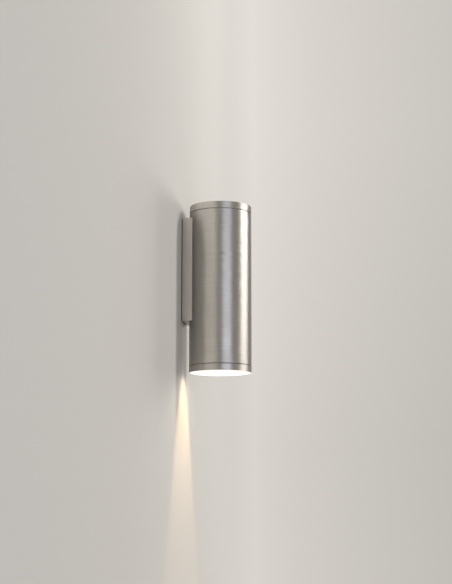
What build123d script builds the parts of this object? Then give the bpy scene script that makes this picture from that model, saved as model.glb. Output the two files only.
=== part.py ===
from build123d import *

import os
from math import radians, sqrt, tan

# Tube wall light: a brushed steel tube that stands off the wall on a shallow box and lights downwards.
# The wall is the plane Y = 0, the light hangs in front of it at Y < 0, and +Z is up.
# The origin is the middle of the box's back, on the wall. All sizes are in millimetres.

os.makedirs("parts", exist_ok=True)

# ---------------------------------------------------------------- driving sizes

# tube
tube_diameter = 74.0
tube_wall = 1.5
overall_height = 200.0
wall_gap = 7.0

# the two ends: a collar fixed in the tube, and a ring with a disc that screws onto it
ring_height = 8.0
end_groove = 0.8
rim_width = 1.2
edge_break = 0.3
disc_recess = 0.2
disc_thickness = 3.2
disc_dish = 1.0
disc_border = 4.0
gasket_thickness = 0.8
snap_wire = 1.0
snap_gap_angle = 14.0
collar_wall = 2.4
collar_grip = 10.0
seal_thickness = 0.7
seal_recess = 0.6

# box between the tube and the wall
mount_width = 40.0
mount_height = 124.0
mount_drop = 15.5
mount_wall = 2.0
mount_corner = 0.4
wall_gasket_thickness = 1.0
wall_gasket_recess = 0.8
wall_gasket_width = 3.0

# plate that is screwed to the wall inside the box
plate_thickness = 1.5
plate_corner = 3.0
wall_slot_pitch = 100.0
wall_slot_width = 4.5
wall_slot_length = 9.0
plate_cable_hole = 18.0
tab_width = 12.0
tab_depth = 3.1
grub_diameter = 3.0
grub_sink = 0.2
grub_socket_width = 1.5
grub_socket_depth = 1.8

# supply cable and its grommet
cable_drop = 14.0
cable_bore = 6.8
grommet_wall = 2.5
grommet_lip = 2.0
grommet_lip_thickness = 1.5

# bent steel chassis in the tube
chassis_width = 24.0
chassis_thickness = 1.5
chassis_setback = 32.7
chassis_bend = 1.0
lamp_shelf_margin = 0.6
terminal_shelf_margin = 4.0
shelf_cable_hole = 11.0
shelf_cable_offset = 11.0
lower_screw_rise = 5.7
upper_screw_drop = 15.3
body_screw_length = 12.0

# lamp with a two-pin twist base
lamp_diameter = 50.0
lamp_length = 47.0
lamp_setback = 20.0
lamp_rim_height = 18.0
lamp_cup_wall = 2.2
lamp_cup_depth = 13.0
lamp_lens_thickness = 3.0
lamp_lens_recess = 0.5
led_board_thickness = 1.6
led_size = 3.5
led_thickness = 0.8
led_ring_radius = 12.0
led_count = 6
fin_slots = 18
fin_slot_width = 1.6
fin_slot_depth = 2.0
base_diameter = 26.0
base_height = 10.0
pin_spacing = 10.0
pin_diameter = 3.0
pin_stem = 4.5
pin_head_diameter = 5.0
pin_head_height = 2.5
twist_angle = 20.0

# lampholder
holder_diameter = 32.0
holder_height = 20.0
holder_chamfer = 0.9
holder_screw_pitch = 23.0
holder_screw_recess = 8.0
holder_screw_length = 17.0
contact_thickness = 0.5
contact_length = 4.0
contact_width = 3.6
contact_barrel_wall = 0.6

# reflector between the lamp and the lens
reflector_wall = 0.8
lamp_side_gap = 1.5

# terminal block
block_width = 30.0
block_depth = 17.0
block_height = 14.0
block_corner = 1.0
block_pole_pitch = 10.0
block_wire_height = 5.5
clamp_diameter = 5.2
clamp_bore = 2.8
clamp_inset = 1.0
clamp_screw_pitch = 9.0
clamp_screw_length = 6.0
block_screw_recess = 3.0
block_screw_length = 14.0
earth_screw_length = 7.0
tag_thickness = 0.8
tag_ring_diameter = 8.4
tag_barrel_height = 7.0
wire_diameter = 1.8
wire_grip = 5.0
wire_reach = 9.0
wire_straight = 20.0
wire_slant = 28.0

# clearances
push_clearance = 0.1
thread_clearance = 0.2
disc_clearance = 0.2
face_gap = 0.1
seat_gap = 0.3
hole_clearance = 0.25
screw_clearance = 0.05

# screws: thread diameter to head diameter and head height
m3 = 3.0
m4 = 4.0
head_width_ratio = 1.85
head_height_ratio = 0.6
head_chamfer_ratio = 0.2
recess_length_ratio = 0.9
recess_width_ratio = 0.2
recess_depth_ratio = 0.3
nut_width_ratio = 1.8
nut_height_ratio = 0.8

# ---------------------------------------------------------------- places worked out from them

tube_radius = tube_diameter / 2
bore_radius = tube_radius - tube_wall
wall_to_axis = wall_gap + tube_radius
axis_y = -wall_to_axis
tube_axis = Axis((0, axis_y, 0), (0, 0, 1))
top_z = mount_height / 2 + mount_drop
bottom_z = top_z - overall_height
tube_top_z = top_z - ring_height - end_groove
tube_bottom_z = bottom_z + ring_height + end_groove

# box shell: the saddle lies on the tube, and a web of the same curve closes the box's front
saddle_radius = tube_radius + push_clearance
web_radius = saddle_radius + mount_wall
web_y = axis_y + web_radius
bore_back_y = axis_y + bore_radius

# chassis: a flat strip whose two edges rest on the tube's bore
chassis_back_y = axis_y + sqrt((bore_radius - push_clearance) ** 2 - (chassis_width / 2) ** 2)
chassis_front_y = chassis_back_y - chassis_thickness

# lamp and lampholder, from the lamp's front upwards
lamp_front_z = bottom_z + lamp_setback
lamp_back_z = lamp_front_z + lamp_length
holder_face_z = lamp_back_z + seat_gap
holder_top_z = holder_face_z + holder_height
lamp_shelf_z = holder_top_z
lamp_shelf_top_z = lamp_shelf_z + chassis_thickness
chassis_top_z = top_z - chassis_setback
terminal_shelf_z = chassis_top_z - chassis_thickness
pin_x = pin_spacing / 2
pin_places = [(pin_x, 0), (-pin_x, 0)]
upper_screw_z = terminal_shelf_z - upper_screw_drop
lower_screw_z = lamp_shelf_top_z + lower_screw_rise
body_screw_places = [(0, upper_screw_z), (0, lower_screw_z)]
cable_z = upper_screw_z - cable_drop

# terminal block on the upper shelf
shelf_cable_y = chassis_front_y - shelf_cable_offset
block_back_y = shelf_cable_y - shelf_cable_hole / 2 - hole_clearance
block_y = block_back_y - block_depth / 2
block_front_y = block_back_y - block_depth
wire_z = chassis_top_z + block_wire_height
pole_places = [-block_pole_pitch, 0, block_pole_pitch]

# grommet: its neck passes the web and the tube wall, and a lip grips each side
grommet_radius = cable_bore / 2 + grommet_wall
grommet_lip_radius = grommet_radius + grommet_lip
grommet_hole_radius = grommet_radius + push_clearance
grommet_back_y = web_y + grommet_lip_thickness
inner_lip_y = axis_y + sqrt(bore_radius**2 - grommet_lip_radius**2) - push_clearance
grommet_front_y = inner_lip_y - grommet_lip_thickness

# ends: depths are measured in from each end face
rim_radius = tube_radius - rim_width
disc_radius = rim_radius - disc_clearance
snap_radius = (rim_radius + disc_radius) / 2
snap_depth = disc_recess + disc_thickness / 2
collar_radius = bore_radius - push_clearance
collar_inner = collar_radius - collar_wall
collar_start = disc_recess + disc_thickness + gasket_thickness + face_gap
tube_start = ring_height + end_groove
collar_end = tube_start + collar_grip


def wall_plane(distance):
    """Plane parallel to the wall, this far in front of it, facing away from the wall."""
    return Plane.XZ.offset(distance)


def section_band(inner, outer, shallow, deep, mode=Mode.ADD):
    """Rectangle in an end's section: radii across, depth in from the end face."""
    with Locations(((inner + outer) / 2, -(shallow + deep) / 2)):
        Rectangle(outer - inner, deep - shallow, mode=mode)


def pan_screws(seat, places, thread, length):
    """Pan-head screws: heads stand behind the seat plane, shanks run along its normal."""
    head_height = thread * head_height_ratio
    head_axis = Axis(seat.origin, seat.z_dir)
    with BuildPart() as screws:
        with BuildSketch(seat):
            with Locations(*places):
                Circle(thread * head_width_ratio / 2)
        extrude(amount=-head_height)
        chamfer(screws.edges().group_by(head_axis)[0], length=thread * head_chamfer_ratio)
        with BuildSketch(seat):
            with Locations(*places):
                Circle(thread / 2)
        extrude(amount=length)
        with BuildSketch(seat.offset(-head_height)):
            with Locations(*places):
                Rectangle(thread * recess_length_ratio, thread * recess_width_ratio)
                Rectangle(thread * recess_width_ratio, thread * recess_length_ratio)
        extrude(amount=thread * recess_depth_ratio, mode=Mode.SUBTRACT)
    return screws


def bend_radii(route):
    """For each corner of a wire's route, the largest arc that leaves both its runs a straight stretch."""
    radii = []
    for before, corner, after in zip(route, route[1:], route[2:]):
        run_in = Vector(*corner) - Vector(*before)
        run_out = Vector(*after) - Vector(*corner)
        turn = radians(run_in.get_angle(run_out))
        radii.append(0.45 * min(run_in.length, run_out.length) / tan(turn / 2))
    return radii


def save(piece, name):
    """Label a finished piece and write it as its own node."""
    piece.part.label = name
    export_step(piece.part, f"parts/{name}.step")


# ---------------------------------------------------------------- tube

with BuildPart() as tube_body:
    with BuildSketch(Plane(origin=(0, axis_y, tube_bottom_z))):
        Circle(tube_radius)
        Circle(bore_radius, mode=Mode.SUBTRACT)
    extrude(amount=tube_top_z - tube_bottom_z)
    with BuildSketch(wall_plane(-web_y)):
        with Locations(*body_screw_places):
            Circle(m4 / 2 + hole_clearance)
        with Locations((0, cable_z)):
            Circle(grommet_hole_radius)
    extrude(amount=web_radius - bore_radius + tube_wall * 2, mode=Mode.SUBTRACT)
save(tube_body, "tube_body")

# ---------------------------------------------------------------- the two ends

bottom_section = Plane(origin=(0, axis_y, bottom_z), x_dir=(1, 0, 0), z_dir=(0, 1, 0))
top_section = Plane(origin=(0, axis_y, top_z), x_dir=(1, 0, 0), z_dir=(0, -1, 0))

for end, disc_name, section in (
    ("bezel", "lens", bottom_section),
    ("cap", "cap_plate", top_section),
):
    # collar: pushed into the tube, with the male thread below it
    with BuildPart() as collar:
        with BuildSketch(section) as collar_outline:
            section_band(collar_inner, collar_radius, collar_start, collar_end)
            chamfer(collar_outline.vertices(), length=edge_break)
        revolve(axis=tube_axis)
    save(collar, f"{end}_collar")

    # ring: carries on the tube's outline, threaded inside, with a groove for the snap wire
    with BuildPart() as ring:
        with BuildSketch(section) as ring_outline:
            section_band(rim_radius, tube_radius, 0, ring_height)
            section_band(collar_radius + thread_clearance, rim_radius, collar_start, ring_height)
            chamfer(ring_outline.vertices().group_by(Axis.X)[-1], length=edge_break)
            with Locations((snap_radius, -snap_depth)):
                Circle(snap_wire / 2 + push_clearance, mode=Mode.SUBTRACT)
        revolve(axis=tube_axis)
    save(ring, f"{end}_ring")

    # flat seal at the bottom of the groove between the ring and the tube
    with BuildPart() as seal:
        with BuildSketch(section):
            section_band(
                collar_radius + push_clearance,
                tube_radius - seal_recess,
                tube_start - seal_thickness,
                tube_start,
            )
        revolve(axis=tube_axis)
    save(seal, f"{end}_seal")

    # disc that fills the ring: an opal lens below, a blank steel plate above, dished on its inner side
    with BuildPart() as disc:
        with BuildSketch(section) as disc_outline:
            section_band(0, disc_radius, disc_recess, disc_recess + disc_thickness)
            chamfer(disc_outline.vertices().group_by(Axis.X)[-1], length=edge_break)
            section_band(
                0,
                collar_inner - disc_border,
                disc_recess + disc_thickness - disc_dish,
                disc_recess + disc_thickness,
                mode=Mode.SUBTRACT,
            )
            with Locations((snap_radius, -snap_depth)):
                Circle(snap_wire / 2 + screw_clearance, mode=Mode.SUBTRACT)
        revolve(axis=tube_axis)
    save(disc, disc_name)

    # soft gasket that the disc presses on the collar
    with BuildPart() as gasket:
        with BuildSketch(section):
            section_band(
                collar_inner + push_clearance,
                collar_radius - push_clearance,
                disc_recess + disc_thickness,
                disc_recess + disc_thickness + gasket_thickness,
            )
        revolve(axis=tube_axis)
    save(gasket, f"{disc_name}_gasket")

    # open wire ring, half in the disc's edge and half in the ring's groove
    with BuildPart() as snap:
        with BuildSketch(section):
            with Locations((snap_radius, -snap_depth)):
                Circle(snap_wire / 2)
        revolve(axis=tube_axis, revolution_arc=360 - snap_gap_angle)
    save(snap, f"{disc_name}_snap_ring")

# ---------------------------------------------------------------- reflector

flange_depth = collar_end + face_gap
reflector_inner = lamp_diameter / 2 + lamp_side_gap
reflector_mouth_depth = collar_start + face_gap

with BuildPart() as reflector:
    with BuildSketch(bottom_section):
        Polygon(
            (reflector_inner, -(flange_depth + reflector_wall)),
            (collar_radius - push_clearance, -(flange_depth + reflector_wall)),
            (collar_radius - push_clearance, -flange_depth),
            (reflector_inner + reflector_wall, -flange_depth),
            (collar_inner - push_clearance, -reflector_mouth_depth),
            (collar_inner - push_clearance - reflector_wall, -reflector_mouth_depth),
            align=None,
        )
    revolve(axis=tube_axis)
save(reflector, "reflector")

# ---------------------------------------------------------------- lamp

lamp_radius = lamp_diameter / 2
base_radius = base_diameter / 2
cup_radius = lamp_radius - lamp_cup_wall
cup_floor_z = lamp_front_z + lamp_cup_depth
base_bottom_z = lamp_back_z - base_height
lamp_section = Plane(origin=(0, axis_y, 0), x_dir=(1, 0, 0), z_dir=(0, -1, 0))
led_board_front_z = cup_floor_z - face_gap - led_board_thickness
pin_root = base_height / 2

# finned body: straight at the front, then tapering back to the base
with BuildPart() as lamp_body:
    with BuildSketch(lamp_section):
        Polygon(
            (0, base_bottom_z - face_gap),
            (base_radius + fin_slot_depth, base_bottom_z - face_gap),
            (lamp_radius, lamp_front_z + lamp_rim_height),
            (lamp_radius, lamp_front_z),
            (cup_radius, lamp_front_z),
            (cup_radius, cup_floor_z),
            (0, cup_floor_z),
            align=None,
        )
    revolve(axis=tube_axis)
    with BuildSketch(Plane(origin=(0, axis_y, lamp_front_z + lamp_rim_height))):
        with PolarLocations(lamp_radius, fin_slots):
            Rectangle(2 * fin_slot_depth, fin_slot_width)
    extrude(amount=base_bottom_z - lamp_front_z - lamp_rim_height, mode=Mode.SUBTRACT)
save(lamp_body, "lamp_body")

with BuildPart() as lamp_board:
    with BuildSketch(Plane(origin=(0, axis_y, led_board_front_z))):
        Circle(cup_radius - push_clearance)
    extrude(amount=led_board_thickness)
    with BuildSketch(Plane(origin=(0, axis_y, led_board_front_z))):
        with PolarLocations(led_ring_radius, led_count):
            Rectangle(led_size, led_size)
    extrude(amount=-led_thickness)
save(lamp_board, "lamp_board")

with BuildPart() as lamp_lens:
    with BuildSketch(Plane(origin=(0, axis_y, lamp_front_z + lamp_lens_recess))):
        Circle(cup_radius - push_clearance)
    extrude(amount=lamp_lens_thickness)
save(lamp_lens, "lamp_lens")

with BuildPart() as lamp_base:
    with BuildSketch(Plane(origin=(0, axis_y, base_bottom_z))):
        Circle(base_radius)
    extrude(amount=base_height)
    with BuildSketch(Plane(origin=(0, axis_y, lamp_back_z))):
        with Locations(*pin_places):
            Circle(pin_diameter / 2 + screw_clearance)
    extrude(amount=-pin_root, mode=Mode.SUBTRACT)
save(lamp_base, "lamp_base")

with BuildPart() as lamp_pins:
    with BuildSketch(Plane(origin=(0, axis_y, lamp_back_z - pin_root))):
        with Locations(*pin_places):
            Circle(pin_diameter / 2)
    extrude(amount=pin_root + pin_stem)
    with BuildSketch(Plane(origin=(0, axis_y, lamp_back_z + pin_stem))):
        with Locations(*pin_places):
            Circle(pin_head_diameter / 2)
    extrude(amount=pin_head_height)
save(lamp_pins, "lamp_pins")

# ---------------------------------------------------------------- lampholder

# the pins go in at the wide end of each slot and turn under its narrow part
face_thickness = pin_stem - 2 * seat_gap
cavity_z = holder_face_z + face_thickness
cavity_height = pin_head_height + 2 * seat_gap + contact_thickness
contact_z = cavity_z + cavity_height - contact_thickness
barrel_floor_z = contact_z + 2 * contact_thickness
holder_screw_places = [(0, holder_screw_pitch / 2), (0, -holder_screw_pitch / 2)]
barrel_radius = wire_diameter / 2 + push_clearance + contact_barrel_wall


# the pins' paths, from the release place to the locked place
pin_paths = [
    CenterArc((0, 0), pin_x, start - twist_angle, twist_angle) for start in (0, 180)
]

with BuildPart() as lampholder:
    with BuildSketch(Plane(origin=(0, axis_y, holder_face_z))):
        Circle(holder_diameter / 2)
    extrude(amount=holder_height)
    chamfer(lampholder.edges().filter_by(GeomType.CIRCLE), length=holder_chamfer)
    with BuildSketch(Plane(origin=(0, axis_y, holder_face_z))):
        for path in pin_paths:
            SlotArc(path, pin_diameter + 2 * seat_gap)
        with PolarLocations(pin_x, 2, -twist_angle):
            Circle(pin_head_diameter / 2 + seat_gap)
    extrude(amount=face_thickness, mode=Mode.SUBTRACT)
    with BuildSketch(Plane(origin=(0, axis_y, cavity_z))):
        for path in pin_paths:
            SlotArc(path, pin_head_diameter + 2 * seat_gap)
    extrude(amount=cavity_height, mode=Mode.SUBTRACT)
    with BuildSketch(Plane(origin=(0, axis_y, cavity_z))):
        with Locations(*pin_places):
            Circle(barrel_radius + push_clearance)
    extrude(amount=holder_top_z - cavity_z, mode=Mode.SUBTRACT)
    with BuildSketch(Plane(origin=(0, axis_y, holder_face_z))):
        with Locations(*holder_screw_places):
            Circle(m3 / 2 + hole_clearance)
    extrude(amount=holder_height, mode=Mode.SUBTRACT)
    with BuildSketch(Plane(origin=(0, axis_y, holder_face_z))):
        with Locations(*holder_screw_places):
            Circle(m3 * head_width_ratio / 2 + hole_clearance)
    extrude(amount=holder_screw_recess, mode=Mode.SUBTRACT)
save(lampholder, "lampholder")

# each contact is a strip over a pin and a barrel that takes the wire from above
with BuildPart() as lampholder_contacts:
    with BuildSketch(Plane(origin=(0, axis_y, contact_z))):
        with Locations(*pin_places):
            Rectangle(contact_width, contact_length)
    extrude(amount=contact_thickness)
    with BuildSketch(Plane(origin=(0, axis_y, contact_z))):
        with Locations(*pin_places):
            Circle(barrel_radius)
    extrude(amount=holder_top_z - contact_z)
    with BuildSketch(Plane(origin=(0, axis_y, barrel_floor_z))):
        with Locations(*pin_places):
            Circle(wire_diameter / 2 + push_clearance)
    extrude(amount=holder_height, mode=Mode.SUBTRACT)
save(lampholder_contacts, "lampholder_contacts")

lampholder_screws = pan_screws(
    Plane(origin=(0, axis_y, holder_face_z + holder_screw_recess)),
    holder_screw_places,
    m3,
    holder_screw_length,
)
save(lampholder_screws, "lampholder_screws")

with BuildPart() as lampholder_nuts:
    with BuildSketch(Plane(origin=(0, axis_y, lamp_shelf_top_z))):
        with Locations(*holder_screw_places):
            RegularPolygon(m3 * nut_width_ratio / 2, 6, major_radius=False)
        with Locations(*holder_screw_places):
            Circle(m3 / 2 + screw_clearance, mode=Mode.SUBTRACT)
    extrude(amount=m3 * nut_height_ratio)
save(lampholder_nuts, "lampholder_nuts")

# ---------------------------------------------------------------- chassis

tag_screw_place = (pin_x, shelf_cable_y + m4 / 2)
lamp_shelf_front_y = axis_y - holder_diameter / 2 - lamp_shelf_margin
terminal_shelf_front_y = block_front_y - terminal_shelf_margin

with BuildPart() as chassis:
    with BuildSketch(Plane.YZ.offset(-chassis_width / 2)) as chassis_outline:
        with Locations((chassis_back_y, lamp_shelf_z)):
            Rectangle(
                chassis_thickness, chassis_top_z - lamp_shelf_z, align=(Align.MAX, Align.MIN)
            )
            Rectangle(
                chassis_back_y - lamp_shelf_front_y, chassis_thickness, align=(Align.MAX, Align.MIN)
            )
        with Locations((chassis_back_y, chassis_top_z)):
            Rectangle(
                chassis_back_y - terminal_shelf_front_y,
                chassis_thickness,
                align=(Align.MAX, Align.MAX),
            )
        fillet(chassis_outline.vertices().group_by(Axis.X)[-2], radius=chassis_bend)
        fillet(
            chassis_outline.vertices().group_by(Axis.X)[-1],
            radius=chassis_bend + chassis_thickness,
        )
    extrude(amount=chassis_width)
    with BuildSketch(wall_plane(-bore_back_y)):
        with Locations(*body_screw_places):
            Circle(m4 / 2 + screw_clearance)
        with Locations((0, cable_z)):
            Circle(grommet_lip_radius + hole_clearance)
    extrude(amount=bore_back_y - chassis_front_y, mode=Mode.SUBTRACT)
    with BuildSketch(Plane(origin=(0, axis_y, lamp_shelf_z))):
        with Locations(*holder_screw_places):
            Circle(m3 / 2 + hole_clearance)
        with Locations(*pin_places):
            Circle(barrel_radius + hole_clearance)
    extrude(amount=chassis_thickness, mode=Mode.SUBTRACT)
    with BuildSketch(Plane.XY.offset(lamp_shelf_z)):
        with Locations(tag_screw_place):
            Circle(m4 / 2 + screw_clearance)
    extrude(amount=chassis_thickness, mode=Mode.SUBTRACT)
    with BuildSketch(Plane.XY.offset(chassis_top_z)):
        with Locations((0, shelf_cable_y)):
            Circle(shelf_cable_hole / 2)
        with Locations((block_pole_pitch / 2, block_y), (-block_pole_pitch / 2, block_y)):
            Circle(m3 / 2 + screw_clearance)
    extrude(amount=-chassis_thickness, mode=Mode.SUBTRACT)
save(chassis, "chassis")

body_screws = pan_screws(
    wall_plane(-web_y),
    body_screw_places,
    m4,
    body_screw_length,
)
save(body_screws, "body_screws")

# ---------------------------------------------------------------- terminal block

pole_rows = [(x, wire_z) for x in pole_places]
clamp_screw_places = [
    (x, block_y + side * clamp_screw_pitch / 2) for x in pole_places for side in (-1, 1)
]
block_screw_places = [(block_pole_pitch / 2, block_y), (-block_pole_pitch / 2, block_y)]
block_top_z = chassis_top_z + block_height
clamp_length = block_depth - 2 * clamp_inset
screw_tip_z = wire_z + wire_diameter / 2 + push_clearance

with BuildPart() as terminal_block:
    with BuildSketch(Plane.XY.offset(chassis_top_z)):
        with Locations((0, block_y)):
            RectangleRounded(block_width, block_depth, block_corner)
    extrude(amount=block_height)
    with BuildSketch(wall_plane(-block_back_y)):
        with Locations(*pole_rows):
            Circle(clamp_diameter / 2 + push_clearance)
    extrude(amount=block_depth, mode=Mode.SUBTRACT)
    with BuildSketch(Plane.XY.offset(block_top_z)):
        with Locations(*clamp_screw_places):
            Circle(m3 / 2 + hole_clearance)
    extrude(amount=wire_z - block_top_z, mode=Mode.SUBTRACT)
    with BuildSketch(Plane.XY.offset(block_top_z)):
        with Locations(*block_screw_places):
            Circle(m3 / 2 + hole_clearance)
    extrude(amount=-block_height, mode=Mode.SUBTRACT)
    with BuildSketch(Plane.XY.offset(block_top_z)):
        with Locations(*block_screw_places):
            Circle(m3 * head_width_ratio / 2 + hole_clearance)
    extrude(amount=-block_screw_recess, mode=Mode.SUBTRACT)
save(terminal_block, "terminal_block")

with BuildPart() as terminal_clamps:
    with BuildSketch(wall_plane(-block_back_y + clamp_inset)):
        with Locations(*pole_rows):
            Circle(clamp_diameter / 2)
        with Locations(*pole_rows):
            Circle(clamp_bore / 2, mode=Mode.SUBTRACT)
    extrude(amount=clamp_length)
    with BuildSketch(Plane.XY.offset(wire_z + clamp_diameter / 2)):
        with Locations(*clamp_screw_places):
            Circle(m3 / 2 + screw_clearance)
    extrude(amount=-clamp_diameter / 2, mode=Mode.SUBTRACT)
save(terminal_clamps, "terminal_clamps")

with BuildPart() as terminal_screws:
    with BuildSketch(Plane.XY.offset(screw_tip_z)):
        with Locations(*clamp_screw_places):
            Circle(m3 / 2)
    extrude(amount=clamp_screw_length)
    with BuildSketch(Plane.XY.offset(screw_tip_z + clamp_screw_length)):
        with Locations(*clamp_screw_places):
            Rectangle(m3 * recess_length_ratio, m3 * recess_width_ratio)
    extrude(amount=-m3 * recess_depth_ratio, mode=Mode.SUBTRACT)
save(terminal_screws, "terminal_screws")

block_screws = pan_screws(
    Plane(origin=(0, 0, block_top_z - block_screw_recess), x_dir=(1, 0, 0), z_dir=(0, 0, -1)),
    [(x, -y) for x, y in block_screw_places],
    m3,
    block_screw_length,
)
save(block_screws, "terminal_block_screws")

# ---------------------------------------------------------------- earth tag and its screw

tag_z = lamp_shelf_top_z
tag_x, tag_y = tag_screw_place
tag_barrel_radius = wire_diameter / 2 + push_clearance + contact_barrel_wall
barrel_x = tag_x + tag_ring_diameter / 2 + tag_barrel_radius

with BuildPart() as earth_tag:
    with BuildSketch(Plane.XY.offset(tag_z)):
        with Locations((tag_x, tag_y)):
            Circle(tag_ring_diameter / 2)
        with Locations(((tag_x + barrel_x) / 2, tag_y)):
            Rectangle(barrel_x - tag_x, 2 * tag_barrel_radius)
        with Locations((tag_x, tag_y)):
            Circle(m4 / 2 + hole_clearance, mode=Mode.SUBTRACT)
    extrude(amount=tag_thickness)
    with BuildSketch(Plane.XY.offset(tag_z + tag_thickness)):
        with Locations((barrel_x, tag_y)):
            Circle(tag_barrel_radius)
            Circle(wire_diameter / 2 + push_clearance, mode=Mode.SUBTRACT)
    extrude(amount=tag_barrel_height)
save(earth_tag, "earth_tag")

earth_screw = pan_screws(
    Plane(origin=(tag_x, tag_y, tag_z + tag_thickness), x_dir=(1, 0, 0), z_dir=(0, 0, -1)),
    [(0, 0)],
    m4,
    earth_screw_length,
)
save(earth_screw, "earth_screw")

# ---------------------------------------------------------------- wires held inside the tube

# each wire leaves the block forwards, drops past the upper shelf's edge and comes back to its end
wire_start_y = block_front_y + clamp_inset + wire_grip
wire_drop_y = terminal_shelf_front_y - wire_reach
wire_end_z = barrel_floor_z + seat_gap
wire_return_z = lamp_shelf_top_z + wire_straight
wire_turn_z = wire_return_z + wire_slant

wire_routes = {
    "live_wire": [
        (-block_pole_pitch, wire_start_y, wire_z),
        (-block_pole_pitch, wire_drop_y, wire_z),
        (-block_pole_pitch, wire_drop_y, wire_turn_z),
        (-pin_x, axis_y, wire_return_z),
        (-pin_x, axis_y, wire_end_z),
    ],
    "neutral_wire": [
        (0, wire_start_y, wire_z),
        (0, wire_drop_y, wire_z),
        (0, wire_drop_y, wire_turn_z),
        (pin_x, axis_y, wire_return_z),
        (pin_x, axis_y, wire_end_z),
    ],
    "earth_wire": [
        (block_pole_pitch, wire_start_y, wire_z),
        (block_pole_pitch, wire_drop_y, wire_z),
        (block_pole_pitch, wire_drop_y, wire_turn_z),
        (barrel_x, tag_y, wire_return_z),
        (barrel_x, tag_y, tag_z + tag_thickness + face_gap),
    ],
}

for wire_name, route in wire_routes.items():
    with BuildPart() as wire:
        with BuildLine() as wire_path:
            FilletPolyline(*route, radius=bend_radii(route))
        with BuildSketch(Plane(origin=route[0], z_dir=(0, -1, 0))):
            Circle(wire_diameter / 2)
        sweep(path=wire_path.line)
    save(wire, wire_name)

# ---------------------------------------------------------------- box between tube and wall

box_back = wall_gasket_thickness
box_reach = wall_to_axis - box_back

with BuildPart() as mount_housing:
    with BuildSketch(Plane.XY.offset(-mount_height / 2)):
        with Locations((0, -box_back)):
            Rectangle(mount_width, box_reach, align=(Align.CENTER, Align.MAX))
        with Locations((0, axis_y)):
            Circle(saddle_radius, mode=Mode.SUBTRACT)
    extrude(amount=mount_height)
    fillet(mount_housing.edges().filter_by(Axis.Y), radius=mount_corner)
    with BuildSketch(Plane.XY.offset(-mount_height / 2 + mount_wall)):
        with Locations((0, -box_back)):
            Rectangle(mount_width - 2 * mount_wall, box_reach, align=(Align.CENTER, Align.MAX))
        with Locations((0, axis_y)):
            Circle(web_radius, mode=Mode.SUBTRACT)
    extrude(amount=mount_height - 2 * mount_wall, mode=Mode.SUBTRACT)
    with BuildSketch(wall_plane(-web_y - mount_wall)):
        with Locations(*body_screw_places):
            Circle(m4 / 2 + hole_clearance)
        with Locations((0, cable_z)):
            Circle(grommet_hole_radius)
    extrude(amount=2 * mount_wall + tube_wall, mode=Mode.SUBTRACT)
    with BuildSketch(Plane.XY.offset(-mount_height / 2)):
        with Locations((0, (web_y - plate_thickness) / 2)):
            Circle(grub_diameter / 2 + screw_clearance)
    extrude(amount=mount_height, mode=Mode.SUBTRACT)
save(mount_housing, "mount_housing")

# soft frame that seals the box to the wall, set back from the box's edge
gasket_width = mount_width - 2 * wall_gasket_recess
gasket_height = mount_height - 2 * wall_gasket_recess
opening_width = gasket_width - 2 * wall_gasket_width
opening_height = gasket_height - 2 * wall_gasket_width

with BuildPart() as wall_gasket:
    with BuildSketch(wall_plane(0)):
        Rectangle(gasket_width, gasket_height)
        Rectangle(opening_width, opening_height, mode=Mode.SUBTRACT)
    extrude(amount=wall_gasket_thickness)
save(wall_gasket, "wall_gasket")

# plate with two slots for the wall screws, a cable hole, and a bent tab at each end
plate_width = opening_width - 2 * seat_gap
plate_height = opening_height - 2 * seat_gap

with BuildPart() as wall_bracket:
    with BuildSketch(wall_plane(0)):
        RectangleRounded(plate_width, plate_height, plate_corner)
        with Locations((0, wall_slot_pitch / 2), (0, -wall_slot_pitch / 2)):
            SlotOverall(wall_slot_length, wall_slot_width, rotation=90, mode=Mode.SUBTRACT)
        with Locations((0, cable_z)):
            Circle(plate_cable_hole / 2, mode=Mode.SUBTRACT)
    extrude(amount=plate_thickness)
    with BuildSketch(wall_plane(plate_thickness)):
        with Locations((0, plate_height / 2)):
            Rectangle(tab_width, plate_thickness, align=(Align.CENTER, Align.MAX))
        with Locations((0, -plate_height / 2)):
            Rectangle(tab_width, plate_thickness, align=(Align.CENTER, Align.MIN))
    extrude(amount=tab_depth)
save(wall_bracket, "wall_bracket")

# two grub screws, one in the box's top and one in its bottom, that grip the plate's tabs
grub_y = (web_y - plate_thickness) / 2
grub_length = mount_height / 2 - grub_sink - plate_height / 2 - face_gap

with BuildPart() as grub_screws:
    for side in (1, -1):
        outer_end = Plane(
            origin=(0, grub_y, side * (mount_height / 2 - grub_sink)),
            x_dir=(1, 0, 0),
            z_dir=(0, 0, -side),
        )
        with BuildSketch(outer_end):
            Circle(grub_diameter / 2)
        extrude(amount=grub_length)
        with BuildSketch(outer_end):
            RegularPolygon(grub_socket_width / 2, 6, major_radius=False)
        extrude(amount=grub_socket_depth, mode=Mode.SUBTRACT)
save(grub_screws, "grub_screws")

# ---------------------------------------------------------------- cable grommet

with BuildPart() as cable_grommet:
    with BuildSketch(wall_plane(-grommet_back_y)):
        with Locations((0, cable_z)):
            Circle(grommet_radius)
    extrude(amount=grommet_back_y - grommet_front_y)
    for lip_plane in (wall_plane(-grommet_back_y), wall_plane(-inner_lip_y)):
        with BuildSketch(lip_plane):
            with Locations((0, cable_z)):
                Circle(grommet_lip_radius)
        extrude(amount=grommet_lip_thickness)
    with BuildSketch(wall_plane(-grommet_back_y)):
        with Locations((0, cable_z)):
            Circle(cable_bore / 2)
    extrude(amount=grommet_back_y - grommet_front_y, mode=Mode.SUBTRACT)
save(cable_grommet, "cable_grommet")

print("overall projection from the wall", wall_to_axis + tube_radius)
print("bend radii of the live wire", [round(r, 1) for r in bend_radii(wire_routes["live_wire"])])
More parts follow.
